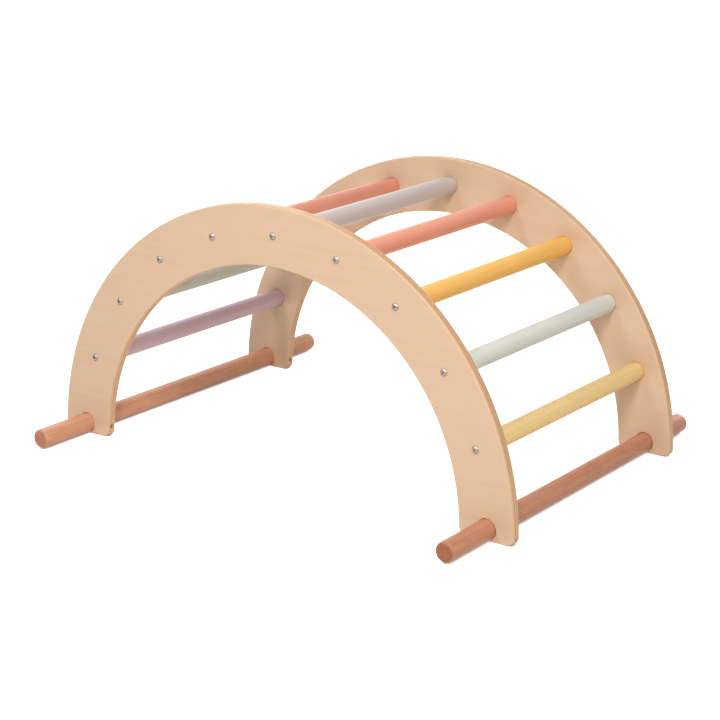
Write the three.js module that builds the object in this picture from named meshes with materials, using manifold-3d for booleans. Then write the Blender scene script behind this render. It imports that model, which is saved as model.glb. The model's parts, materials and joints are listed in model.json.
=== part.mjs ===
// Half-round climbing arch for children: two plywood half rings, nine round wooden rungs bolted
// between them and two long floor bars that run through the feet and keep the arch from tipping.
// Millimetres, +Z up. X runs along the arch, Y across it, and the origin is on the floor at the
// centre of the half circle.

import * as THREE from 'three';
import { mergeVertices } from 'three/addons/utils/BufferGeometryUtils.js';
import Module from 'manifold-3d';

const manifold = await Module();
manifold.setup();

// Side panels
const rungCircleRadius = 425; // every rung is centred on this half circle
const bandWidth = 102; // radial width of a panel
const rungInset = 49.5; // from a panel's outer edge in to the rung circle
const panelThickness = 18;
const edgeRounding = 3; // router radius along every edge of a panel
const footCornerRadius = 12;

// Rungs
const clearWidth = 505; // between the panels' inner faces
const rungCount = 9;
const rungStepDegrees = 17.5;
const rungDiameter = 33;
const socketDepth = 5; // blind socket in a panel's inner face that seats a rung
const socketClearance = 0.5; // radial
const dowelEndChamfer = 1;

// Floor bars
const barDiameter = 34;
const barOverhang = 120; // past each panel's outer face
const barFloorGap = 2; // the feet carry the arch, the bars hang just clear of the floor
const barEndRounding = 4;
const barHoleClearance = 1.2; // radial
const footMouthWidth = 18; // where the bar's hole breaks out of the foot

// Rung bolts and the threaded inserts that they screw into
const boltDiameter = 6;
const boltLength = 35;
const boltHeadDiameter = 12;
const boltHeadHeight = 3.3;
const boltHeadLand = 0.6; // straight rim under the dome
const hexKeySize = 4; // across flats
const hexSocketDepth = 2;
const boltHoleClearance = 0.5; // radial
const insertLength = 20;
const insertWall = 1.4;
const boreTipRoom = 4;

// Screws that lock the floor bars in the feet
const lockScrewDiameter = 5;
const lockScrewLength = 45; // shank
const lockScrewHeadDiameter = 7.4;
const lockScrewHeadHeight = 3;
const lockScrewRecess = 2; // head below the panel's inner edge
const lockHoleClearance = 0.4; // radial

// Gap kept between pieces that touch
const seatGap = 0.3;

// Facets of round shapes
const archSteps = 48;
const cornerSteps = 4;
const dowelSides = 24;
const boltSides = 12;
const screwSides = 10;

// Derived sizes
const outerRadius = rungCircleRadius + rungInset;
const innerRadius = outerRadius - bandWidth;
const rungRadius = rungDiameter / 2;
const barRadius = barDiameter / 2;
const innerFace = clearWidth / 2;
const outerFace = innerFace + panelThickness;
const panelMiddle = innerFace + panelThickness / 2;
const rungHalfLength = innerFace + socketDepth - seatGap;
const barHalfLength = outerFace + barOverhang;
const barHeight = barRadius + barFloorGap;
const barHoleRadius = barRadius + barHoleClearance;
const barHoleX = Math.sqrt(rungCircleRadius ** 2 - barHeight ** 2);
const barX = barHoleX - barHoleClearance + seatGap; // drawn by its screws against the hole's inner side
const boltRadius = boltDiameter / 2;
const boltSeat = outerFace + seatGap;
const boltReach = boltLength - seatGap - (panelThickness - socketDepth) - seatGap; // into the rung
const insertBore = boltRadius + seatGap;
const insertRadius = insertBore + insertWall;
const rungBoreRadius = insertRadius + seatGap;
const rungBoreDepth = Math.max(boltReach, seatGap + insertLength) + boreTipRoom;
const lockScrewRadius = lockScrewDiameter / 2;
const lockHoleRadius = lockScrewRadius + lockHoleClearance;
const legEdgeX = Math.sqrt(innerRadius ** 2 - barHeight ** 2);
const lockHeadX = legEdgeX + lockScrewRecess;
const lockSeatX = lockHeadX + lockScrewHeadHeight;
const lockTipX = lockSeatX + lockScrewLength;

// Colours: nine painted or stained rungs from left to right, the bars, the plywood and the steel
const rungColours = [
  '#b8a0aa', '#c3c6ae', '#e0a878', '#e29a80', '#cfc0c2', '#e8947d', '#f0b85f', '#d3dacf', '#ecd391',
];
const barColour = '#c48468';
const plywoodColour = '#e2c3a4';
const steelColour = '#c9c9cc';

// Points along an arc, angles in degrees, both ends included
function arc(x, y, radius, from, to, steps) {
  const points = [];
  for (let i = 0; i <= steps; i += 1) {
    const angle = THREE.MathUtils.degToRad(from + ((to - from) * i) / steps);
    points.push(new THREE.Vector2(x + radius * Math.cos(angle), y + radius * Math.sin(angle)));
  }
  return points;
}

// Closed mesh with shared vertices and no collapsed triangles, as a solid that can be cut
function toSolid(geometry) {
  const bare = geometry.clone();
  bare.deleteAttribute('normal');
  bare.deleteAttribute('uv');
  const merged = mergeVertices(bare, 1e-4);
  const index = merged.index.array;
  const triangles = [];
  for (let i = 0; i < index.length; i += 3) {
    const [a, b, c] = [index[i], index[i + 1], index[i + 2]];
    if (a !== b && b !== c && c !== a) triangles.push(a, b, c);
  }
  return new manifold.Manifold(new manifold.Mesh({
    numProp: 3,
    vertProperties: new Float32Array(merged.attributes.position.array),
    triVerts: new Uint32Array(triangles),
  }));
}

function toGeometry(solid) {
  const mesh = solid.getMesh();
  const geometry = new THREE.BufferGeometry();
  geometry.setAttribute('position', new THREE.BufferAttribute(mesh.vertProperties, 3));
  geometry.setIndex(new THREE.BufferAttribute(mesh.triVerts, 1));
  geometry.computeVertexNormals();
  return geometry;
}

// Solid of revolution about the Y axis, from a list of [radius, y] that climbs along +Y
function turned(profile, sides) {
  const points = profile.map(([radius, y]) => new THREE.Vector2(radius, y));
  return toSolid(new THREE.LatheGeometry(points, sides));
}

function roundCutter(radius, length, sides, x, y, z, alongX = false) {
  const cylinder = new THREE.CylinderGeometry(radius, radius, length, sides);
  if (alongX) cylinder.rotateZ(Math.PI / 2);
  cylinder.translate(x, y, z);
  return toSolid(cylinder);
}

function rungPlace(i) {
  const angle = THREE.MathUtils.degToRad(rungStepDegrees * (i - (rungCount - 1) / 2));
  return [rungCircleRadius * Math.sin(angle), rungCircleRadius * Math.cos(angle)];
}

// Half ring that stands on two flat feet with rounded corners
function panelOutline() {
  const corner = footCornerRadius;
  const outerX = Math.sqrt((outerRadius - corner) ** 2 - corner ** 2);
  const innerX = Math.sqrt((innerRadius + corner) ** 2 - corner ** 2);
  const outerAngle = THREE.MathUtils.radToDeg(Math.atan2(corner, outerX));
  const innerAngle = THREE.MathUtils.radToDeg(Math.atan2(corner, innerX));
  const points = [
    ...arc(outerX, corner, corner, -90, outerAngle, cornerSteps),
    ...arc(0, 0, outerRadius, outerAngle, 180 - outerAngle, archSteps).slice(1, -1),
    ...arc(-outerX, corner, corner, 180 - outerAngle, 270, cornerSteps),
    ...arc(-innerX, corner, corner, -90, -innerAngle, cornerSteps),
    ...arc(0, 0, innerRadius, 180 - innerAngle, innerAngle, archSteps).slice(1, -1),
    ...arc(innerX, corner, corner, 180 + innerAngle, 270, cornerSteps),
  ];
  return new THREE.Shape(points);
}

// Panel centred on its own thickness, with the sockets in its +Y face
function sidePanel() {
  const blank = new THREE.ExtrudeGeometry(panelOutline(), {
    depth: panelThickness - 2 * edgeRounding,
    bevelThickness: edgeRounding,
    bevelSize: edgeRounding,
    bevelOffset: -edgeRounding,
    bevelSegments: 1,
  });
  blank.translate(0, 0, edgeRounding - panelThickness / 2);
  blank.rotateX(Math.PI / 2);
  let solid = toSolid(blank);

  const through = panelThickness + 2;
  const socketRadius = rungRadius + socketClearance;
  for (let i = 0; i < rungCount; i += 1) {
    const [x, z] = rungPlace(i);
    const socketY = panelThickness / 2 - socketDepth + through / 2;
    solid = solid.subtract(roundCutter(socketRadius, through, dowelSides, x, socketY, z));
    solid = solid.subtract(roundCutter(boltRadius + boltHoleClearance, through, boltSides, x, 0, z));
  }

  const mouth = new THREE.BoxGeometry(footMouthWidth, through, 2 * barHeight);
  const headRadius = lockScrewHeadDiameter / 2 + lockHoleClearance;
  for (const side of [-1, 1]) {
    const counterboreX = side * (lockSeatX + seatGap - bandWidth / 2);
    const shankX = side * ((legEdgeX + barHoleX) / 2);
    solid = solid.subtract(roundCutter(barHoleRadius, through, dowelSides, side * barHoleX, 0, barHeight));
    solid = solid.subtract(toSolid(mouth.clone().translate(side * barHoleX, 0, 0)));
    solid = solid.subtract(
      roundCutter(headRadius, bandWidth, screwSides, counterboreX, 0, barHeight, true),
    );
    solid = solid.subtract(
      roundCutter(lockHoleRadius, barHoleX - legEdgeX, screwSides, shankX, 0, barHeight, true),
    );
  }
  return toGeometry(solid);
}

// Dowel along Y with a blind bore for a threaded insert in each end
function rung() {
  const end = rungHalfLength;
  const boreEnd = end - rungBoreDepth;
  const half = [
    [rungRadius, end - dowelEndChamfer],
    [rungRadius - dowelEndChamfer, end],
    [rungBoreRadius, end],
    [rungBoreRadius, boreEnd],
    [0, boreEnd],
  ];
  const otherHalf = half.map(([radius, y]) => [radius, -y]).reverse();
  return toGeometry(turned([...otherHalf, ...half], dowelSides));
}

// Long dowel along Y with rounded ends and a screw hole in its +X side at each foot
function floorBar() {
  const cap = arc(barRadius - barEndRounding, barHalfLength - barEndRounding, barEndRounding, 0, 90, 3);
  const half = [...cap.map((point) => [point.x, point.y]), [0, barHalfLength]];
  const otherHalf = half.map(([radius, y]) => [radius, -y]).reverse();
  let solid = turned([...otherHalf, ...half], dowelSides);

  const holeEnd = barX - lockTipX - seatGap;
  const holeLength = 2 * barRadius;
  for (const y of [-panelMiddle, panelMiddle]) {
    solid = solid.subtract(
      roundCutter(lockHoleRadius, holeLength, screwSides, holeEnd + holeLength / 2, y, 0, true),
    );
  }
  return toGeometry(solid);
}

// Domed bolt along Y: the head's underside at y = 0, the shank towards +Y, a hex socket in the dome
function rungBolt() {
  const rim = boltHeadDiameter / 2;
  const rise = boltHeadHeight - boltHeadLand;
  const domeRadius = (rim ** 2 + rise ** 2) / (2 * rise);
  const domeCentre = domeRadius - boltHeadHeight;
  const dome = [];
  for (const share of [0, 0.6, 1]) {
    const radius = rim * share;
    dome.push([radius, domeCentre - Math.sqrt(domeRadius ** 2 - radius ** 2)]);
  }
  const tipChamfer = boltRadius / 4;
  const body = turned([
    ...dome,
    [rim, 0],
    [boltRadius, 0],
    [boltRadius, boltLength - tipChamfer],
    [boltRadius - tipChamfer, boltLength],
    [0, boltLength],
  ], boltSides);
  const keyRadius = hexKeySize / 2 / Math.cos(Math.PI / 6);
  const key = roundCutter(keyRadius, 2 * hexSocketDepth, 6, 0, -boltHeadHeight, 0);
  return toGeometry(body.subtract(key));
}

// Threaded sleeve along +Y, open at both ends
function rungInsert() {
  const profile = [
    [insertBore, 0],
    [insertRadius, 0],
    [insertRadius, insertLength],
    [insertBore, insertLength],
    [insertBore, 0],
  ];
  return toGeometry(turned(profile, screwSides));
}

// Wood screw along +Y with its head's top at y = 0
function lockScrew() {
  const headRadius = lockScrewHeadDiameter / 2;
  const tip = lockScrewHeadHeight + lockScrewLength;
  return toGeometry(turned([
    [0, 0],
    [headRadius, 0],
    [headRadius, lockScrewHeadHeight],
    [lockScrewRadius, lockScrewHeadHeight],
    [lockScrewRadius, tip - 2 * lockScrewRadius],
    [0, tip],
  ], screwSides));
}

const materials = {
  plywood: new THREE.MeshStandardMaterial({ color: plywoodColour, roughness: 0.6, metalness: 0 }),
  bar: new THREE.MeshStandardMaterial({ color: barColour, roughness: 0.5, metalness: 0 }),
  steel: new THREE.MeshStandardMaterial({ color: steelColour, roughness: 0.3, metalness: 1 }),
};

const arch = new THREE.Group();

function place(name, geometry, material, position, turn = 0) {
  const mesh = new THREE.Mesh(geometry, material);
  mesh.name = name;
  mesh.position.set(...position);
  mesh.rotation.z = turn;
  arch.add(mesh);
}

// The two ends of the arch: which way is outwards along Y, and the half turn that faces it there
const ends = [
  { name: 'front', side: -1, turn: 0 },
  { name: 'back', side: 1, turn: Math.PI },
];
const feet = [
  { name: 'left', side: -1, turn: 0 },
  { name: 'right', side: 1, turn: Math.PI },
];

const panelGeometry = sidePanel();
const barGeometry = floorBar();
const rungGeometry = rung();
const boltGeometry = rungBolt();
const insertGeometry = rungInsert();
const screwGeometry = lockScrew();

for (const end of ends) {
  place(`side_panel_${end.name}`, panelGeometry, materials.plywood, [0, end.side * panelMiddle, 0], end.turn);
}

for (const foot of feet) {
  place(`floor_bar_${foot.name}`, barGeometry, materials.bar, [foot.side * barX, 0, barHeight], foot.turn);
  for (const end of ends) {
    const position = [foot.side * lockHeadX, end.side * panelMiddle, barHeight];
    const name = `bar_lock_screw_${end.name}_${foot.name}`;
    place(name, screwGeometry, materials.steel, position, (-foot.side * Math.PI) / 2);
  }
}

for (let i = 0; i < rungCount; i += 1) {
  const [x, z] = rungPlace(i);
  const paint = new THREE.MeshStandardMaterial({
    color: rungColours[i % rungColours.length],
    roughness: 0.5,
    metalness: 0,
  });
  place(`rung_${i + 1}`, rungGeometry, paint, [x, 0, z]);
  for (const end of ends) {
    const insertY = end.side * (rungHalfLength - seatGap);
    place(`rung_insert_${end.name}_${i + 1}`, insertGeometry, materials.steel, [x, insertY, z], end.turn);
    place(`rung_bolt_${end.name}_${i + 1}`, boltGeometry, materials.steel, [x, end.side * boltSeat, z], end.turn);
  }
}

export default arch;
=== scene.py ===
import json
import math

import bmesh
import bpy
import numpy as np
from mathutils import Matrix, Vector
from mathutils.geometry import delaunay_2d_cdt


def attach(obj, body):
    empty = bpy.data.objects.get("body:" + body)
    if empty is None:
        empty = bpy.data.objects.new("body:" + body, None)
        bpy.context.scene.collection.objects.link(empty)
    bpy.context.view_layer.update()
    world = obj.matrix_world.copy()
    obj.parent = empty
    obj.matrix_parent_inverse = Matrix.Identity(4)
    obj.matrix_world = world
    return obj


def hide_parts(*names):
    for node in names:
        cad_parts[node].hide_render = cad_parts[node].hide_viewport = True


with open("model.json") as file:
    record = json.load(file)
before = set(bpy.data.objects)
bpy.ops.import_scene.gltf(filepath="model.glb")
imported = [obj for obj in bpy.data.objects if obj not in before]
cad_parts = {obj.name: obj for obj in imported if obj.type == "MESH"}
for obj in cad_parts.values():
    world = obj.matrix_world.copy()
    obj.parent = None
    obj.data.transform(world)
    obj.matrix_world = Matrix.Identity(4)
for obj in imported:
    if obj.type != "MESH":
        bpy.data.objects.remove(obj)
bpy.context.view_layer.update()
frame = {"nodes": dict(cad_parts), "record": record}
slotOfNode = {part["node"]: part["material_slot"] for part in frame["record"]["subparts"]}
mm = 0.001  # sizes below are in millimetres, the scene is in metres

# Camera, matched to the bolt heads, the rungs' outlines and both half rings in the photograph
camera = {
    "place": (1913.6, -2707.8, 1158.8),
    "azimuth": 35.46,  # degrees, 0 looks along +Y
    "elevation": 16.91,
    "roll": 0.83,
    "focalPixels": 1958.3,
    "imagePixels": 720,
    "sensorWidth": 36.0,
    "clipEnd": 100.0,  # metres
}


def addCamera():
    # the camera's axes from its azimuth and elevation, then turned by the roll about the line of sight
    turn, lift, roll = (math.radians(camera[key]) for key in ("azimuth", "elevation", "roll"))
    back = Vector((math.sin(turn) * math.cos(lift), -math.cos(turn) * math.cos(lift), math.sin(lift)))
    level = Vector((math.cos(turn), math.sin(turn), 0))
    steep = back.cross(level)
    right = level * math.cos(roll) + steep * math.sin(roll)
    up = steep * math.cos(roll) - level * math.sin(roll)
    data = bpy.data.cameras.new("photoCamera")
    data.sensor_width = camera["sensorWidth"]
    data.lens = camera["focalPixels"] / camera["imagePixels"] * camera["sensorWidth"]
    data.clip_end = camera["clipEnd"]
    photoCamera = bpy.data.objects.new("photoCamera", data)
    axes = Matrix((right, up, back)).transposed().to_4x4()
    photoCamera.matrix_world = Matrix.Translation(Vector(camera["place"]) * mm) @ axes
    bpy.context.scene.collection.objects.link(photoCamera)
    bpy.context.scene.camera = photoCamera


addCamera()
print("camera placed")


# Materials: a few helpers, then one function for each real finish
def linearColour(code):
    # sRGB hex to linear light: c / 12.92 up to 0.04045, else ((c + 0.055) / 1.055) ^ 2.4
    part = np.array([int(code[i:i + 2], 16) for i in (1, 3, 5)]) / 255
    light = np.where(part <= 0.04045, part / 12.92, ((part + 0.055) / 1.055) ** 2.4)
    return (*light.tolist(), 1.0)


def addNode(tree, kind, inputs=(), **settings):
    # inputs go by name or number and hold a value, a socket, or a node whose first live output is taken;
    # a Mix has its factor at 0, its two numbers at 2 and 3 and its two colours at 6 and 7
    node = tree.nodes.new("ShaderNode" + kind)
    for key, value in settings.items():
        setattr(node, key, value)
    for key, value in inputs.items() if isinstance(inputs, dict) else enumerate(inputs):
        if isinstance(value, bpy.types.Node):
            value = next(socket for socket in value.outputs if socket.enabled)
        if isinstance(value, bpy.types.NodeSocket):
            tree.links.new(value, node.inputs[key])
        else:
            node.inputs[key].default_value = value
    return node


def newMaterial(name):
    # a material with nothing in its node tree yet
    material = bpy.data.materials.new(name)
    material.use_nodes = True
    material.node_tree.nodes.clear()
    return material, material.node_tree


# Birch plywood: rotary cut veneers glued crosswise, sanded and sealed with a clear satin lacquer.
# The face shows faint streaks along X. Every edge shows the plies in turn as long grain and as
# darker end grain, whichever way the edge runs, with hairline glue joints and two brown plies.
birch = {
    "face": "#d4b699",
    "faceFigure": "#d1b191",
    "longGrain": "#e0bc98",
    "endGrain": "#ca9868",
    "brownPly": "#a8794a",
    "glue": "#a97c50",
    "plies": 13,
    "brownPlyOffset": 2,  # plies between the middle one and each brown one
    "glueWidth": 0.16,  # mm, as are the lengths and widths below
    "glueCore": 0.4,  # share of a joint that has the full colour
    "glueRelief": -0.6,  # a joint lies lower than the wood beside it
    "figureLength": 230.0,
    "figureWidth": 9.0,
    "figureFrom": 0.35,  # noise levels between which the figure comes up
    "figureTo": 0.75,
    "fibreLength": 22.0,
    "fibreWidth": 0.9,  # finer in the real wood, drawn as coarse as the render can show
    "fibreContrast": 0.5,
    "edgeFibre": 0.5,
    "plySlide": 0.733,  # metres, how far each ply's pattern lies from the next one's
    "faceEnds": 0.98,  # the face gives way to the plies below this Y of the normal
    "edgeStarts": 0.65,
    "roughness": 0.48,
    "ior": 1.5,
    "bumpStrength": 0.25,
    "bumpDepth": 0.08,
}


def makeBirch(thickness, middle):
    # ply number = depth below the sheet's inner face / ply thickness, and odd plies run upright
    material, tree = newMaterial("birch plywood, satin lacquer")
    count = birch["plies"]
    where = addNode(tree, "TexCoord").outputs
    x, y, z = addNode(tree, "SeparateXYZ", [where["Object"]]).outputs
    nx, ny, nz = addNode(tree, "SeparateXYZ", [where["Normal"]]).outputs
    across = addNode(tree, "Math", [y], operation="ABSOLUTE")
    depth = addNode(tree, "Math", [across, (middle - thickness / 2) * mm], operation="SUBTRACT")
    plies = addNode(tree, "Math", [depth, thickness / count * mm], operation="DIVIDE")
    inside = addNode(tree, "Clamp", [plies, 0.01, count - 0.01])  # a face belongs to its own ply
    number = addNode(tree, "Math", [inside], operation="FLOOR")
    crossed = addNode(tree, "Math", [number, 2.0], operation="MODULO")
    along = addNode(tree, "Mix", {0: crossed, 2: x, 3: z})
    over = addNode(tree, "Mix", {0: crossed, 2: z, 3: x})
    slid = addNode(tree, "Math", [number, birch["plySlide"], along], operation="MULTIPLY_ADD")

    def streaks(length, width, detail, distortion):
        # noise drawn out along the grain: one period is length by width
        place = addNode(tree, "CombineXYZ", [
            addNode(tree, "Math", [slid, length * mm], operation="DIVIDE"),
            addNode(tree, "Math", [over, width * mm], operation="DIVIDE"),
            addNode(tree, "Math", [y, width * mm], operation="DIVIDE"),
        ])
        inputs = {"Vector": place, "Scale": 1.0, "Detail": detail, "Distortion": distortion}
        return addNode(tree, "TexNoise", inputs)

    figure = streaks(birch["figureLength"], birch["figureWidth"], 3.0, 0.3)
    fibre = streaks(birch["fibreLength"], birch["fibreWidth"], 2.0, 0.0)
    figureShare = addNode(tree, "MapRange", [figure, birch["figureFrom"], birch["figureTo"]])
    contrast = birch["fibreContrast"]
    fibreShare = addNode(tree, "Math", [fibre, contrast, -contrast / 2], operation="MULTIPLY_ADD")
    tone = addNode(tree, "Math", [figureShare, fibreShare], operation="ADD", use_clamp=True)
    colours = {6: linearColour(birch["face"]), 7: linearColour(birch["faceFigure"])}
    face = addNode(tree, "Mix", {0: tone, **colours}, data_type="RGBA")

    steepX = addNode(tree, "Math", [nx], operation="ABSOLUTE")
    steepZ = addNode(tree, "Math", [nz], operation="ABSOLUTE")
    endShare = addNode(tree, "Mix", {0: crossed, 2: steepX, 3: steepZ})
    endShare = addNode(tree, "Math", [fibreShare, birch["edgeFibre"], endShare], operation="MULTIPLY_ADD")
    colours = {6: linearColour(birch["longGrain"]), 7: linearColour(birch["endGrain"])}
    edge = addNode(tree, "Mix", {0: endShare, **colours}, data_type="RGBA")
    fromMiddle = addNode(tree, "Math", [number, (count - 1) / 2], operation="SUBTRACT")
    fromMiddle = addNode(tree, "Math", [fromMiddle], operation="ABSOLUTE")
    brown = addNode(tree, "Math", [fromMiddle, birch["brownPlyOffset"], 0.1], operation="COMPARE")
    colours = {6: edge, 7: linearColour(birch["brownPly"])}
    edge = addNode(tree, "Mix", {0: brown, **colours}, data_type="RGBA")
    faceOn = addNode(tree, "Math", [ny], operation="ABSOLUTE")
    edgeOn = addNode(tree, "MapRange", [faceOn, birch["faceEnds"], birch["edgeStarts"]])
    wood = addNode(tree, "Mix", {0: edgeOn, 6: face, 7: edge}, data_type="RGBA")

    nearest = addNode(tree, "Math", [plies], operation="ROUND")
    nearest = addNode(tree, "Clamp", [nearest, 1.0, count - 1.0])
    offJoint = addNode(tree, "Math", [plies, nearest], operation="SUBTRACT")
    offJoint = addNode(tree, "Math", [offJoint], operation="ABSOLUTE")
    jointHalf = birch["glueWidth"] / 2 / (thickness / count)
    joint = addNode(tree, "MapRange", [offJoint, jointHalf, jointHalf * birch["glueCore"]])
    colour = addNode(tree, "Mix", {0: joint, 6: wood, 7: linearColour(birch["glue"])}, data_type="RGBA")

    relief = addNode(tree, "Math", [joint, birch["glueRelief"], fibre], operation="MULTIPLY_ADD")
    bump = addNode(tree, "Bump", {
        "Height": relief, "Strength": birch["bumpStrength"], "Distance": birch["bumpDepth"] * mm,
    })
    inputs = {"Base Color": colour, "Roughness": birch["roughness"], "IOR": birch["ior"], "Normal": bump}
    addNode(tree, "OutputMaterial", [addNode(tree, "BsdfPrincipled", inputs)])
    return material


# Stained dowels: turned beech in a thin satin stain. Growth rings and short rays show through
# the colour as faint lengthwise streaks on the side and as arcs on an end.
stain = {
    "ringSpacing": 3.2,  # mm, as are the lengths and widths below
    "pith": (-610.0, -450.0),  # X and Z of the tree's middle, so each dowel is cut from it elsewhere
    "wander": 5.0,  # how far a ring strays from round
    "wanderScale": 0.09,  # against the streaks
    "streakLength": 90.0,
    "streakWidth": 1.6,
    "streakWeight": 1.6,
    "fleckLength": 5.0,
    "fleckWidth": 0.9,  # finer in the real wood, drawn as coarse as the render can show
    "fleckFrom": 0.58,  # noise levels between which a fleck comes up
    "fleckTo": 0.74,
    "fleckShade": 0.62,
    "blotchLength": 34.0,
    "blotchWidth": 11.0,
    "roughness": 0.46,
    "gloss": 0.25,  # the open pores halve the shine of the stain, which is 0.5 on a closed film
    "rungs": {"flecks": 0.12, "rings": 0.3, "blotches": 0.5, "light": 1.05, "dark": 0.94},
    "bars": {"flecks": 0.5, "rings": 0.5, "blotches": 1.6, "light": 1.09, "dark": 0.88},
    "endStarts": 0.5,  # end grain shows above this Y of the normal
    "endFull": 0.95,
    "endLight": 1.17,
    "endDark": 0.8,
    "rungEndShade": 0.75,
    "bumpStrength": 0.2,
    "bumpDepth": 0.1,
    "barColours": {  # side and end; the right bar is darker than the left, and the stain soaks deeper into an end
        "left": ("#d09777", "#b67a5f"),
        "right": ("#c38769", "#a16345"),
    },
}

stainColours = {
    "mauve_paint": "#d2b6bf",
    "sage_paint": "#c2c1b2",
    "apricot_paint": "#dca374",
    "coral_paint": "#dd9179",
    "pale_lilac_paint": "#ccc1bb",
    "salmon_paint": "#ee9e82",
    "yellow_orange_paint": "#fdbf60",
    "pale_green_paint": "#dadbd0",
    "pale_yellow_paint": "#f1ce8e",
}


def shade(colour, factor):
    # the same hue lighter or darker, as linear light times a factor
    return (*[min(1.0, channel * factor) for channel in colour[:3]], 1.0)


def makeStain(name, code, look, endColour):
    # tone = rings, blotches and streaks added up; ring = sin(2 pi * distance from the pith / spacing)
    material, tree = newMaterial(name)
    where = addNode(tree, "TexCoord").outputs
    x, y, z = addNode(tree, "SeparateXYZ", [where["Object"]]).outputs
    facing = addNode(tree, "SeparateXYZ", [where["Normal"]]).outputs["Y"]
    base = linearColour(code)

    def drawnOut(length, width, scale, detail):
        # noise drawn out along the dowel: one period is length by width at scale 1
        place = addNode(tree, "CombineXYZ", [
            addNode(tree, "Math", [x, width * mm], operation="DIVIDE"),
            addNode(tree, "Math", [y, length * mm], operation="DIVIDE"),
            addNode(tree, "Math", [z, width * mm], operation="DIVIDE"),
        ])
        return addNode(tree, "TexNoise", {"Vector": place, "Scale": scale, "Detail": detail})

    streak = drawnOut(stain["streakLength"], stain["streakWidth"], 1.0, 3.0)
    slow = drawnOut(stain["streakLength"], stain["streakWidth"], stain["wanderScale"], 2.0)
    offX = addNode(tree, "Math", [x, stain["pith"][0] * mm], operation="SUBTRACT")
    offZ = addNode(tree, "Math", [z, stain["pith"][1] * mm], operation="SUBTRACT")
    squareZ = addNode(tree, "Math", [offZ, offZ], operation="MULTIPLY")
    square = addNode(tree, "Math", [offX, offX, squareZ], operation="MULTIPLY_ADD")
    radius = addNode(tree, "Math", [square], operation="SQRT")
    radius = addNode(tree, "Math", [slow, stain["wander"] * mm, radius], operation="MULTIPLY_ADD")
    perMetre = 2 * math.pi / (stain["ringSpacing"] * mm)
    turns = addNode(tree, "Math", [radius, perMetre], operation="MULTIPLY")
    ring = addNode(tree, "Math", [turns], operation="SINE")
    blotch = drawnOut(stain["blotchLength"], stain["blotchWidth"], 1.0, 2.0)
    middle = 0.5 - stain["streakWeight"] / 2 - look["blotches"] / 2  # brings the sum's mean to one half
    tone = addNode(tree, "Math", [ring, look["rings"] / 2, middle], operation="MULTIPLY_ADD")
    tone = addNode(tree, "Math", [blotch, look["blotches"], tone], operation="MULTIPLY_ADD")
    tone = addNode(tree, "Math", [streak, stain["streakWeight"], tone], operation="MULTIPLY_ADD")
    tone.use_clamp = True
    colours = {6: shade(base, look["light"]), 7: shade(base, look["dark"])}
    colour = addNode(tree, "Mix", {0: tone, **colours}, data_type="RGBA")
    onEnd = addNode(tree, "Math", [facing], operation="ABSOLUTE")
    onEnd = addNode(tree, "MapRange", [onEnd, stain["endStarts"], stain["endFull"]])
    colours = {6: shade(endColour, stain["endLight"]), 7: shade(endColour, stain["endDark"])}
    endWood = addNode(tree, "Mix", {0: tone, **colours}, data_type="RGBA")
    colour = addNode(tree, "Mix", {0: onEnd, 6: colour, 7: endWood}, data_type="RGBA")

    speck = drawnOut(stain["fleckLength"], stain["fleckWidth"], 1.0, 1.0)
    speck = addNode(tree, "MapRange", [speck, stain["fleckFrom"], stain["fleckTo"], 0.0, look["flecks"]])
    colours = {6: colour, 7: shade(base, stain["fleckShade"])}
    colour = addNode(tree, "Mix", {0: speck, **colours}, data_type="RGBA")

    bump = addNode(tree, "Bump", {
        "Height": streak, "Strength": stain["bumpStrength"], "Distance": stain["bumpDepth"] * mm,
    })
    inputs = {"Base Color": colour, "Roughness": stain["roughness"], "Normal": bump}
    inputs["Specular IOR Level"] = stain["gloss"]
    addNode(tree, "OutputMaterial", [addNode(tree, "BsdfPrincipled", inputs)])
    return material


# Plated steel: pressed bolt heads with a nickel plating, whose warm grey is partly a painted reflection of
# the wood round them, and lock screws with a yellow zinc one. The plating is slightly cloudy and shines
# softly, and its colour is darkened in sockets and corners as painted shade.
plating = {
    "nickel": ("#a89d96", "#8b817a", 0.3),  # colour, warmed in part as a painted reflection of the wood, its dull patches, roughness
    "yellow zinc": ("#b88f66", "#96704b", 0.42),
    "recess": 2.5,  # mm, how deep a corner has to be to keep its painted shade
    # how dark the painted shade in sockets and corners is, against the dull plating
    "paintedRecessShade": 0.25,
    "patch": 3.0,  # mm
    "patchFrom": 0.4,  # noise levels between which a dull patch comes up
    "patchTo": 0.7,
    "roughnessSpread": 0.12,
}


def makeSteel(kind):
    # a cloud of dull patches sets colour and roughness, and the open sky round a point darkens its recesses
    # as painted shade
    material, tree = newMaterial(f"steel with {kind} plating")
    bright, dull, roughness = plating[kind]
    where = addNode(tree, "TexCoord").outputs["Object"]
    perMetre = 1 / (plating["patch"] * mm)
    cloud = addNode(tree, "TexNoise", {"Vector": where, "Scale": perMetre, "Detail": 3.0})
    share = addNode(tree, "MapRange", [cloud, plating["patchFrom"], plating["patchTo"]])
    colours = {6: linearColour(bright), 7: linearColour(dull)}
    colour = addNode(tree, "Mix", {0: share, **colours}, data_type="RGBA")
    # painted shade: where little open sky lies near, the colour goes towards a dark copy of the dull plating
    openness = addNode(tree, "AmbientOcclusion", {"Distance": plating["recess"] * mm}).outputs["AO"]
    depth = {6: shade(linearColour(dull), plating["paintedRecessShade"]), 7: colour}
    colour = addNode(tree, "Mix", {0: openness, **depth}, data_type="RGBA")
    gloss = addNode(tree, "Math", [share, plating["roughnessSpread"], roughness], operation="MULTIPLY_ADD")
    inputs = {"Base Color": colour, "Metallic": 1.0, "Roughness": gloss}
    addNode(tree, "OutputMaterial", [addNode(tree, "BsdfPrincipled", inputs)])
    return material


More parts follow.
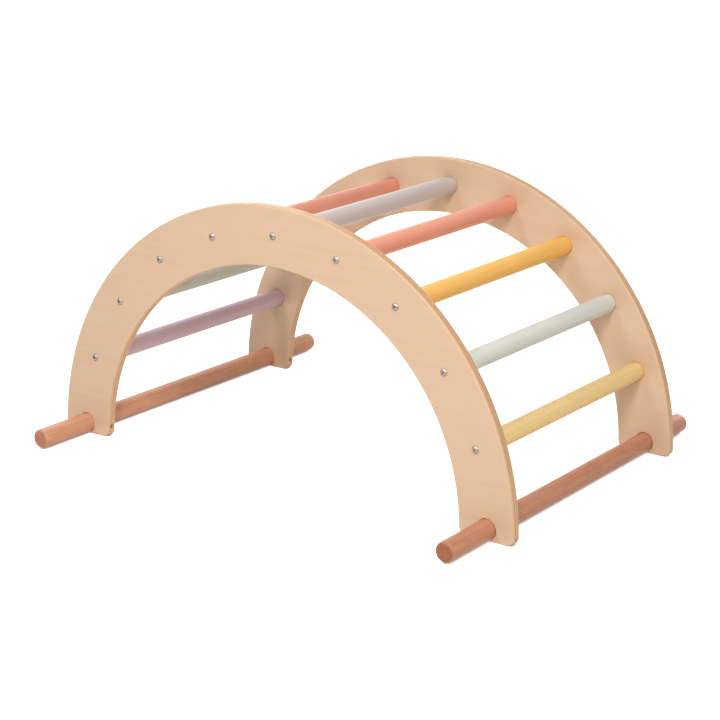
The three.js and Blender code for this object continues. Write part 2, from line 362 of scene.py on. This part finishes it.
# Side panels, half rings of plywood on two feet
panel = {
    "outerRadius": 474.5,
    "innerRadius": 372.5,
    "thickness": 18.0,
    "middle": 261.5,  # Y of the sheet's middle
    "rounding": 3.0,
    "flatLoop": 0.4,  # keeps the faces flat beside the rounding
    "footCorner": 12.0,
    "lipRadius": 2.51,  # rounded lips where the bar's hole breaks out of the foot
    "slotRounding": 1.0,
    "archSteps": 220,
    "roundSteps": 8,
    "cornerSteps": 12,
    "soleSteps": 10,
    "lipSteps": 8,
    "slotSteps": 54,
    "boltHole": 3.5,
    "socketRadius": 17.0,
    "socketDepth": 5.0,
    "holeSides": 72,
    "rimSoftening": 0.4,
    "rimBulge": 0.3,  # share of the softening that a rim's middle point lies inside its corner, 1 - cos 45
}
rungs = {"count": 9, "step": 17.5, "circle": 425.0, "radius": 16.5, "halfLength": 257.2}
bars = {"radius": 17.0, "halfLength": 390.5, "x": 423.675, "height": 19.0, "rounding": 5.0}
barHole = {"x": 423.975, "radius": 17.6}
lockHole = {
    "counterbore": 4.1, "seat": 377.315, "shank": 2.9, "end": 422.315,
    "segments": 8, "rimRings": 3, "wallRings": 4,
}

materials = {
    "birch_plywood": makeBirch(panel["thickness"], panel["middle"]),
    "plated_steel": makeSteel("nickel"),
}
lockSteel = makeSteel("yellow zinc")
for slotName, code in stainColours.items():
    title = slotName.replace("_paint", " stained beech").replace("_", " ")
    endColour = shade(linearColour(code), stain["rungEndShade"])
    materials[slotName] = makeStain(title, code, stain["rungs"], endColour)
barStains = {}
for name, (code, endCode) in stain["barColours"].items():
    title = f"terracotta stained beech, {name} bar"
    barStains[name] = makeStain(title, code, stain["bars"], linearColour(endCode))
materials["terracotta_stain"] = barStains["left"]
print("materials:", ", ".join(materials))


# Mesh helpers: a block is a pair of arrays, points in millimetres and faces that number them,
# and a third entry marks it as flat shaded
joining = {"merge": 0.002, "triangleSlack": 1e-5, "sharpAngle": 40}  # mm, mm and degrees


def gridBlock(points, ring=True):
    # points as rows by columns by 3: each row joins the next, and a ring joins its last column to its first
    rows, columns = points.shape[:2]
    row = np.arange(rows - 1)[:, None] * columns
    column = np.arange(columns if ring else columns - 1)[None, :]
    beside = (column + 1) % columns
    below = row + columns
    quads = np.stack([row + column, row + beside, below + beside, below + column], axis=-1)
    return points.reshape(-1, 3), quads.reshape(-1, 4)


def turnedPoints(profile, angles, centre):
    # profile rows (radius, y) turned about the line along Y through centre (x, z)
    radius, y = np.asarray(profile, float).T[:, :, None]
    wide = np.ones_like(angles)
    return np.stack([
        centre[0] + radius * np.cos(angles),
        y * wide,
        centre[1] + radius * np.sin(angles),
    ], axis=-1)


def fullTurn(sides):
    # evenly spaced angles, the last one short of the first
    return np.linspace(0, 2 * np.pi, sides, endpoint=False)


def arcRows(radius, y, rounding, start, stop, steps):
    # (radius, y) along a quarter round whose middle is at (radius, y), angles from +radius towards +y
    angle = np.radians(np.linspace(start, stop, steps + 1))
    return np.c_[radius + rounding * np.cos(angle), y + rounding * np.sin(angle)]


def addPiece(name, blocks, slotName, *nodes):
    # joins blocks into one mesh, merges the seams, turns the faces outwards and gives it its finish
    points = np.concatenate([block[0] for block in blocks]) * mm
    starts = np.cumsum([0] + [len(block[0]) for block in blocks])
    faces = [face for start, block in zip(starts, blocks) for face in (block[1] + start).tolist()]
    flat = np.concatenate([np.full(len(block[1]), len(block) > 2) for block in blocks])
    mesh = bpy.data.meshes.new(name)
    mesh.from_pydata(points.tolist(), [], faces)
    mesh.polygons.foreach_set("use_smooth", ~flat)
    work = bmesh.new()
    work.from_mesh(mesh)
    bmesh.ops.remove_doubles(work, verts=work.verts, dist=joining["merge"] * mm)
    bmesh.ops.recalc_face_normals(work, faces=work.faces)
    openEdges = sum(not edge.is_manifold for edge in work.edges)
    work.to_mesh(mesh)
    work.free()
    mesh.set_sharp_from_angle(angle=math.radians(joining["sharpAngle"]))
    mesh.materials.append(materials[slotName])
    piece = bpy.data.objects.new(name, mesh)
    bpy.context.scene.collection.objects.link(piece)
    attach(piece, "root")
    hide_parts(*nodes)
    if openEdges:
        print("open edges in", name, openEdges)
    return piece


def outlineArc(centre, radius, start, stop, steps, side, rounding):
    # rows of x, z, outward normal x, z and edge rounding along an arc, angles in degrees
    angle = np.radians(np.linspace(start, stop, steps + 1))
    out = np.c_[np.cos(angle), np.sin(angle)]
    soft = np.broadcast_to(rounding, steps + 1)
    return np.c_[np.asarray(centre) + radius * out, side * out, soft]


def outlineLine(start, stop, steps, roundings):
    # rows along the foot's flat sole, where the rounding eases from one radius to the other
    share = np.linspace(0, 1, steps + 1)
    ease = share * share * (3 - 2 * share)
    soft = roundings[0] + (roundings[1] - roundings[0]) * ease
    flat = np.zeros(steps + 1)
    return np.c_[start + (stop - start) * share, flat, flat, flat - 1, soft]


def panelOutline():
    # closed outline: half rings of two radii, rounded feet, and the bar's hole open through the sole;
    # each small arc's middle is where it touches both of its neighbours, by Pythagoras
    outer, inner, corner = panel["outerRadius"], panel["innerRadius"], panel["footCorner"]
    lip, hole, holeX, holeZ = panel["lipRadius"], barHole["radius"], barHole["x"], bars["height"]
    soft, fine = panel["rounding"], panel["slotRounding"]
    outerX = math.sqrt((outer - corner) ** 2 - corner ** 2)
    innerX = math.sqrt((inner + corner) ** 2 - corner ** 2)
    outerAngle = math.degrees(math.atan2(corner, outerX))
    innerAngle = math.degrees(math.atan2(corner, innerX))
    lipX = math.sqrt((hole + lip) ** 2 - (holeZ - lip) ** 2)
    lipAngle = math.degrees(math.atan2(holeZ - lip, lipX))
    screwAngle = math.degrees(math.asin(holeZ / inner))
    screwHalf = math.degrees((panel["thickness"] / 2 - soft) / inner)
    backHalf = math.degrees((panel["thickness"] / 2 - fine) / hole)
    parts = lockHole["segments"]
    runs = [
        outlineArc((0, 0), outer, 90, outerAngle, panel["archSteps"] // 2, 1, soft),
        outlineArc((outerX, corner), corner, outerAngle, -90, panel["cornerSteps"], 1, soft),
        outlineLine(outerX, holeX + lipX, panel["soleSteps"], (soft, fine)),
        outlineArc((holeX + lipX, lip), lip, -90, -180 - lipAngle, panel["lipSteps"], 1, fine),
        outlineArc((holeX, holeZ), hole, -lipAngle, 180 - backHalf, panel["slotSteps"], -1, fine),
        outlineArc((holeX, holeZ), hole, 180 - backHalf, 180 + backHalf, parts, -1, fine),
        outlineArc((holeX, holeZ), hole, 180 + backHalf, 180 + lipAngle, panel["lipSteps"], -1, fine),
        outlineArc((holeX - lipX, lip), lip, lipAngle, -90, panel["lipSteps"], 1, fine),
        outlineLine(holeX - lipX, innerX, panel["soleSteps"], (fine, soft)),
        outlineArc((innerX, corner), corner, -90, innerAngle - 180, panel["cornerSteps"], 1, soft),
        outlineArc((0, 0), inner, innerAngle, screwAngle - screwHalf, 1, -1, soft),
        outlineArc((0, 0), inner, screwAngle - screwHalf, screwAngle + screwHalf, parts, -1, soft),
        outlineArc((0, 0), inner, screwAngle + screwHalf, 90, panel["archSteps"] // 2, -1, soft),
    ]
    half = np.concatenate([run[:-1] for run in runs] + [runs[-1][-1:]])
    other = half[::-1] * np.array([-1, 1, -1, 1, 1])
    return np.concatenate([half[:-1], other[:-1]])


def edgePoints(outline):
    # the outline carried through the sheet: quarter round, straight edge, quarter round
    steps, parts, half = panel["roundSteps"], lockHole["segments"], panel["thickness"] / 2
    x, z, nx, nz, soft = outline.T[:, :, None]
    angle = np.radians(np.linspace(0, 90, steps + 1))
    inward = soft * (1 - np.sin(angle))
    outwardY = soft * (1 - np.cos(angle)) - half
    straight = np.linspace(0, 1, parts + 1)[1:-1]
    middleY = (soft - half) + (2 * half - 2 * soft) * straight
    loop = soft + panel["flatLoop"]
    inset = np.concatenate([loop, inward, 0 * middleY, inward[:, ::-1], loop], axis=1)
    face = 0 * loop + half
    across = np.concatenate([-face, outwardY, middleY, -outwardY[:, ::-1], face], axis=1)
    return np.stack([x - nx * inset, across, z - nz * inset], axis=-1)


def boreRim(surface, half, radius, rings):
    # a square on surface(u, v) narrowed in straight steps to a circle, as rows, and the circle's angles
    count = lockHole["segments"]
    side = np.linspace(-1, 1, count + 1)[:-1]
    one = np.ones(count)
    square = half * np.concatenate([
        np.c_[side, -one], np.c_[one, side], np.c_[-side, one], np.c_[-one, -side],
    ])
    angle = np.arctan2(square[:, 1], square[:, 0])
    circle = radius * np.c_[np.cos(angle), np.sin(angle)]
    share = np.linspace(0, 1, rings + 1)[:, None, None]
    place = square * (1 - share) + circle * share
    return surface(place[..., 0], place[..., 1]), angle


def boreRows(profile, angle, y, z):
    # rows (x, radius) turned about the line along X through (y, z)
    x, radius = np.asarray(profile, float).T[:, :, None]
    return np.stack([x + 0 * angle, y + radius * np.sin(angle), z + radius * np.cos(angle)], axis=-1)


def footBore():
    # counterbored hole for a lock screw, from the foot's inner edge to the bar's hole
    inner, height, hole = panel["innerRadius"], bars["height"], barHole["radius"]
    start = math.asin(height / inner)
    soft = panel["rimSoftening"]

    def edge(u, v):
        # the foot's inner edge: u along its circle, v across the sheet
        return np.stack([inner * np.cos(start + u / inner), v, inner * np.sin(start + u / inner)], axis=-1)

    def holeWall(u, v):
        # the bar's hole, the same way
        across, upward = hole * np.cos(u / hole), hole * np.sin(u / hole)
        return np.stack([barHole["x"] - across, v, height + upward], axis=-1)

    wide, narrow = lockHole["counterbore"], lockHole["shank"]
    half = panel["thickness"] / 2
    rim, angle = boreRim(edge, half - panel["rounding"], wide + soft, lockHole["rimRings"])
    wall, angle = boreRim(holeWall, half - panel["slotRounding"], narrow, lockHole["wallRings"])
    edgeX, bulge = inner * math.cos(start), soft * panel["rimBulge"]
    profile = [
        (edgeX + bulge, wide + bulge),
        (edgeX + soft, wide),
        (lockHole["seat"], wide),
        (lockHole["seat"], narrow),
    ]
    return gridBlock(np.concatenate([rim, boreRows(profile, angle, 0, height), wall[::-1]]))


def capBlock(outline, circles, y):
    # the flat face at y inside the outline and outside the circles, as a constrained triangulation
    loops = [outline] + circles
    points = np.concatenate(loops)
    starts = np.cumsum([0] + [len(loop) for loop in loops])
    edges = []
    for start, loop in zip(starts, loops):
        index = np.arange(len(loop))
        edges += np.c_[start + index, start + (index + 1) % len(loop)].tolist()
    insideOnly = 1
    flat2d = [Vector(point) for point in points.tolist()]
    filled = delaunay_2d_cdt(flat2d, edges, [], insideOnly, joining["triangleSlack"])
    flat, faces = np.array([tuple(point) for point in filled[0]]), np.array(filled[2])
    middle = flat[faces].mean(axis=1)
    for circle in circles:
        centre = circle.mean(axis=0)
        away = np.hypot(*(middle - centre).T) > np.hypot(*(circle[0] - centre))
        middle, faces = middle[away], faces[away]
    return np.c_[flat[:, 0], np.full(len(flat), y), flat[:, 1]], faces, "flat"


def rungPlaces():
    # X and Z of the rungs, at even steps on their circle and the middle one on top
    angle = np.radians(rungs["step"] * (np.arange(rungs["count"]) - (rungs["count"] - 1) / 2))
    return rungs["circle"] * np.c_[np.sin(angle), np.cos(angle)]


def panelBlocks():
    # the front panel about its own middle: edge, two faces, nine bolt holes with sockets, two lock holes
    half, soft = panel["thickness"] / 2, panel["rimSoftening"]
    outline = panelOutline()
    edge = edgePoints(outline)
    points, quads = gridBlock(edge.transpose(1, 0, 2))
    middle = points[quads].mean(axis=1)
    # the squares of the two bores take the place of the faces on the inner edge and in the bar's hole
    height, wide = bars["height"], barHole["radius"]
    near = 1.0  # mm, how far a face's middle may lie off its own curve
    onInner = abs(np.hypot(middle[:, 0], middle[:, 2]) - panel["innerRadius"]) < near
    onInner &= abs(middle[:, 2] - height) < half - panel["rounding"]
    onInner &= abs(middle[:, 1]) < half - panel["rounding"]
    onHole = abs(np.hypot(abs(middle[:, 0]) - barHole["x"], middle[:, 2] - height) - wide) < near
    behind = wide * math.cos((half - panel["slotRounding"]) / wide)
    onHole &= abs(middle[:, 0]) < barHole["x"] - behind + 0.1
    onHole &= abs(middle[:, 1]) < half - panel["slotRounding"]
    blocks = [(points, quads[~(onInner | onHole)])]
    bore = footBore()
    blocks += [bore, (bore[0] * np.array([-1, 1, 1]), bore[1])]

    bolt, socket, floor = panel["boltHole"], panel["socketRadius"], half - panel["socketDepth"]
    bulge = soft * panel["rimBulge"]
    profile = [
        (socket + soft, half), (socket + bulge, half - bulge), (socket, half - soft),
        (socket, floor), (bolt, floor), (bolt, soft - half), (bolt + soft, -half),
    ]
    angles = fullTurn(panel["holeSides"])
    holes = [turnedPoints(profile, angles, place) for place in rungPlaces()]
    blocks += [gridBlock(hole) for hole in holes]
    blocks.append(capBlock(edge[:, 0][:, [0, 2]], [hole[-1][:, [0, 2]] for hole in holes], -half))
    blocks.append(capBlock(edge[:, -1][:, [0, 2]], [hole[0][:, [0, 2]] for hole in holes], half))
    return blocks


def shifted(blocks, offset, turn=(1, 1, 1)):
    # moves the points by offset, then multiplies them by turn, where -1 mirrors that axis
    return [((block[0] + np.array(offset)) * np.array(turn), *block[1:]) for block in blocks]


sheet = shifted(panelBlocks(), (0, -panel["middle"], 0))
for name, turn in (("front", (1, 1, 1)), ("back", (-1, -1, 1))):
    addPiece("plywood_panel_" + name, shifted(sheet, (0, 0, 0), turn), "birch_plywood", "side_panel_" + name)
print("side panels made")

# Rungs, turned dowels with a bore for a threaded insert in each end
rungShape = {
    "sides": 72, "chamfer": 1.0, "cornerSteps": 4, "bore": 5.0, "boreDepth": 25.4, "lengthSteps": 24,
}


def rungBlock(place):
    # half a profile from the middle to the bore's floor, then its mirror image, turned about Y
    end, radius, cut = rungs["halfLength"], rungs["radius"], rungShape["chamfer"]
    run = np.linspace(0, end - cut, rungShape["lengthSteps"] // 2 + 1)
    side = np.c_[np.full(len(run), radius), run]
    corner = arcRows(radius - cut, end - cut, cut, 0, 90, rungShape["cornerSteps"])[1:]
    bore = [(rungShape["bore"], end), (rungShape["bore"], end - rungShape["boreDepth"]),
            (0, end - rungShape["boreDepth"])]
    half = np.concatenate([side, corner, bore])
    profile = np.concatenate([half[::-1] * np.array([1, -1]), half[1:]])
    return gridBlock(turnedPoints(profile, fullTurn(rungShape["sides"]), place))


for i, place in enumerate(rungPlaces(), start=1):
    node = f"rung_{i}"
    addPiece(f"dowel_rung_{i}", [rungBlock(place)], slotOfNode[node], node)
print("rungs made")

# Floor bars, long dowels with rounded ends and a screw hole at each foot
barShape = {
    "sides": 72, "boreSquare": 4.0, "boreRings": 2, "roundSteps": 8, "flatLoop": 0.4,
    "betweenSteps": 12, "overhangSteps": 5,
}


def barBlocks():
    # the right bar: a turned profile with a square left out at each screw hole, and the bores that fill it
    radius, end, soft = bars["radius"], bars["halfLength"], bars["rounding"]
    square, parts = barShape["boreSquare"], lockHole["segments"]
    spread = square / radius
    angles = np.concatenate([
        np.linspace(np.pi - spread, np.pi + spread, parts + 1),
        np.linspace(np.pi + spread, 3 * np.pi - spread, barShape["sides"])[1:-1],
    ])
    foot = panel["middle"]
    stations = np.concatenate([
        np.linspace(0, foot - square, barShape["betweenSteps"] + 1),
        np.linspace(foot - square, foot + square, parts + 1)[1:],
        np.linspace(foot + square, end - soft, barShape["overhangSteps"] + 1)[1:],
    ])
    side = np.c_[np.full(len(stations), radius), stations]
    corner = arcRows(radius - soft, end - soft, soft, 0, 90, barShape["roundSteps"])[1:]
    half = np.concatenate([side, corner, [(radius - soft - barShape["flatLoop"], end), (0, end)]])
    profile = np.concatenate([half[::-1] * np.array([1, -1]), half[1:]])
    points, quads = gridBlock(turnedPoints(profile, angles, (bars["x"], bars["height"])))
    middle = points[quads].mean(axis=1)
    inSquare = middle[:, 0] < bars["x"] - radius * math.cos(spread)
    inSquare &= abs(abs(middle[:, 1]) - foot) < square
    blocks = [(points, quads[~inSquare])]
    for y in (-foot, foot):
        def wall(u, v):
            # the bar's inner side: u round it, v along it
            turn = u / radius
            return np.stack([
                bars["x"] - radius * np.cos(turn), y + v, bars["height"] + radius * np.sin(turn),
            ], axis=-1)

        rim, angle = boreRim(wall, square, lockHole["shank"], barShape["boreRings"])
        floor = [(lockHole["end"], lockHole["shank"]), (lockHole["end"], 0)]
        blocks.append(gridBlock(np.concatenate([rim, boreRows(floor, angle, y, bars["height"])])))
    return blocks


for name, turn in (("left", (-1, 1, 1)), ("right", (1, 1, 1))):
    blocks = shifted(barBlocks(), (0, 0, 0), turn)
    bar = addPiece("round_bar_" + name, blocks, "terracotta_stain", "floor_bar_" + name)
    bar.data.materials[0] = barStains[name]
print("floor bars made")

# Bolts and lock screws, plain shanks under a head with a hexagon socket
boltSize = {  # seat is how far from the arch's middle the head's underside lies
    "seat": 270.8, "head": 6.0, "height": 3.3, "land": 0.6, "key": 4.0, "keyDepth": 2.0, "shank": 3.0,
    "length": 35.0, "tip": 0.75, "tipRadius": 2.25, "softening": 0.2,
}
lockSize = {
    "seat": 377.015, "head": 3.7, "height": 3.0, "land": 2.7, "key": 3.0, "keyDepth": 1.8, "shank": 2.5,
    "length": 45.0, "tip": 5.0, "tipRadius": 0.0, "softening": 0.3,
}
screwShape = {"sides": 48, "domeRows": 9, "drillCone": 0.7, "drillShare": 0.42, "mouthChamfer": 0.25}


def screwPoints(size):
    # axis along +Y with the head's underside at y = 0
    # the key's hexagon has the radius half its width / cos(angle from the nearest flat's middle)
    angle = fullTurn(screwShape["sides"])
    hexagon = size["key"] / 2 / np.cos((angle + np.pi / 6) % (np.pi / 3) - np.pi / 6)
    rim, top, soft = size["head"], size["height"], size["softening"]
    rise = top - size["land"]
    dome = (rim ** 2 + rise ** 2) / (2 * rise)
    chamfer = screwShape["mouthChamfer"]
    mouth = size["key"] / 2 / math.cos(math.pi / 6) + chamfer
    floor = size["keyDepth"] - top
    circle = np.ones_like(angle)

    def domeY(radius):
        # a sphere's cap of radius dome through the head's top
        return dome - top - np.sqrt(dome ** 2 - radius ** 2)

    drilled = circle * size["key"] * screwShape["drillShare"]
    rows = [(0 * circle, floor + screwShape["drillCone"]), (drilled, floor), (hexagon, floor)]
    rows += [(hexagon, domeY(mouth) + chamfer)]
    domeRadii = np.linspace(mouth, rim - soft, screwShape["domeRows"])
    rows += [(circle * radius, domeY(radius)) for radius in domeRadii]
    # below the dome: the head's softened land and seat, the shank and its tip
    under = [
        (rim - soft * 0.25, -size["land"] + soft * 0.05), (rim, soft - size["land"]), (rim, -soft * 0.5),
        (rim - soft * 0.5, 0), (size["shank"], 0), (size["shank"], size["length"] - size["tip"]),
        (size["tipRadius"], size["length"]), (0, size["length"]),
    ]
    rows += [(circle * radius, y) for radius, y in under]
    radius = np.array([row[0] for row in rows])
    y = np.array([row[1] for row in rows])[:, None] * circle
    return np.stack([radius * np.cos(angle), y, radius * np.sin(angle)], axis=-1)


boltGrid = screwPoints(boltSize)
for end, side in (("front", 1), ("back", -1)):
    for i, (x, z) in enumerate(rungPlaces(), start=1):
        points = boltGrid * np.array([side, side, 1]) + np.array([x, -side * boltSize["seat"], z])
        addPiece(f"domed_bolt_{end}_{i}", [gridBlock(points)], "plated_steel", f"rung_bolt_{end}_{i}")

lockGrid = screwPoints(lockSize)
for end, y in (("front", -1), ("back", 1)):
    for name, side in (("left", -1), ("right", 1)):
        points = np.stack([
            side * (lockSize["seat"] + lockGrid[..., 1]),
            y * panel["middle"] + lockGrid[..., 0],
            bars["height"] + lockGrid[..., 2],
        ], axis=-1)
        node = f"bar_lock_screw_{end}_{name}"
        screw = addPiece(f"lock_screw_{end}_{name}", [gridBlock(points)], "plated_steel", node)
        screw.data.materials[0] = lockSteel
print("bolts and screws made")

# The CAD nodes get their slot's material too; of them only the threaded inserts stay, inside the rungs
for node, cadPiece in frame["nodes"].items():
    cadPiece.data.materials.clear()
    cadPiece.data.materials.append(materials[slotOfNode[node]])

# Stage: a pale floor that keeps only the close shadows, a white surround and soft lamps
stage = {
    "floor": "#f4f1ec",
    "lift": 0.95,  # white added for the camera, so that only the close shadows stay
    "mirroredLift": 0.5,  # the same for gloss and metal, to which the lit floor is nearly white as it is
    "closeness": 5.0,  # mm, how far the added white dims beside what stands on the floor
    "surround": 0.161,  # what the white world adds as light
    "floorReach": 30.0,  # metres from the middle to the floor's edge
    "aim": (0.0, 0.0, 0.2),  # metres, where the lamps point
    "lamps": {  # place in metres, width in metres, power in watts
        "key": ((1.4, -2.4, 3.0), 0.9, 74.1),
        "leftFront": ((-1.0, -2.2, 3.0), 0.9, 32.4),
        "rightFront": ((2.6, -2.4, 2.6), 2.4, 48.6),
        "leftBehind": ((-2.6, 2.2, 2.6), 2.4, 60.8),
        "behind": ((0.0, 3.9, 0.9), 1.6, 60.0),
    },
}


def rayKinds(tree):
    # 1 for camera rays, and 1 for glossy and transmission rays: all of them see the white surround
    path = addNode(tree, "LightPath").outputs
    kinds = [path["Is Glossy Ray"], path["Is Transmission Ray"]]
    mirrored = addNode(tree, "Math", kinds, operation="MAXIMUM")
    return path["Is Camera Ray"], mirrored


def addStage():
    # paper floor, white world, area lamps
    material, tree = newMaterial("matt white paper floor")
    paper = addNode(tree, "BsdfDiffuse", [linearColour(stage["floor"])])
    openness = addNode(tree, "AmbientOcclusion", {"Distance": stage["closeness"] * mm}).outputs["AO"]
    direct, mirrored = rayKinds(tree)
    lift = addNode(tree, "Math", [mirrored, stage["mirroredLift"]], operation="MULTIPLY")
    lift = addNode(tree, "Math", [direct, stage["lift"], lift], operation="MULTIPLY_ADD")
    lift = addNode(tree, "Math", [lift, openness], operation="MULTIPLY")
    glow = addNode(tree, "Emission", {"Strength": lift})
    addNode(tree, "OutputMaterial", [addNode(tree, "AddShader", [paper, glow])])
    mesh = bpy.data.meshes.new("paperFloor")
    reach = stage["floorReach"]
    corners = [(-reach, -reach, 0), (reach, -reach, 0), (reach, reach, 0), (-reach, reach, 0)]
    mesh.from_pydata(corners, [], [(0, 1, 2, 3)])
    mesh.materials.append(material)
    floor = bpy.data.objects.new("paperFloor", mesh)
    bpy.context.scene.collection.objects.link(floor)

    world = bpy.data.worlds.new("surround")
    bpy.context.scene.world = world
    world.use_nodes = True
    world.node_tree.nodes.clear()
    tree = world.node_tree
    seen = addNode(tree, "Math", list(rayKinds(tree)), operation="MAXIMUM")
    strength = addNode(tree, "Mix", {0: seen, 2: stage["surround"], 3: 1.0})
    surround = addNode(tree, "Background", [(1, 1, 1, 1), strength])
    addNode(tree, "OutputWorld", [surround])

    for name, (place, width, power) in stage["lamps"].items():
        data = bpy.data.lights.new(name, "AREA")
        data.size = width
        data.energy = power
        light = bpy.data.objects.new(name, data)
        aim = Vector(stage["aim"]) - Vector(place)
        turned = aim.to_track_quat("-Z", "Y").to_matrix().to_4x4()
        light.matrix_world = Matrix.Translation(place) @ turned
        bpy.context.scene.collection.objects.link(light)
    bpy.context.scene.view_settings.view_transform = "Standard"


addStage()
print("stage set")
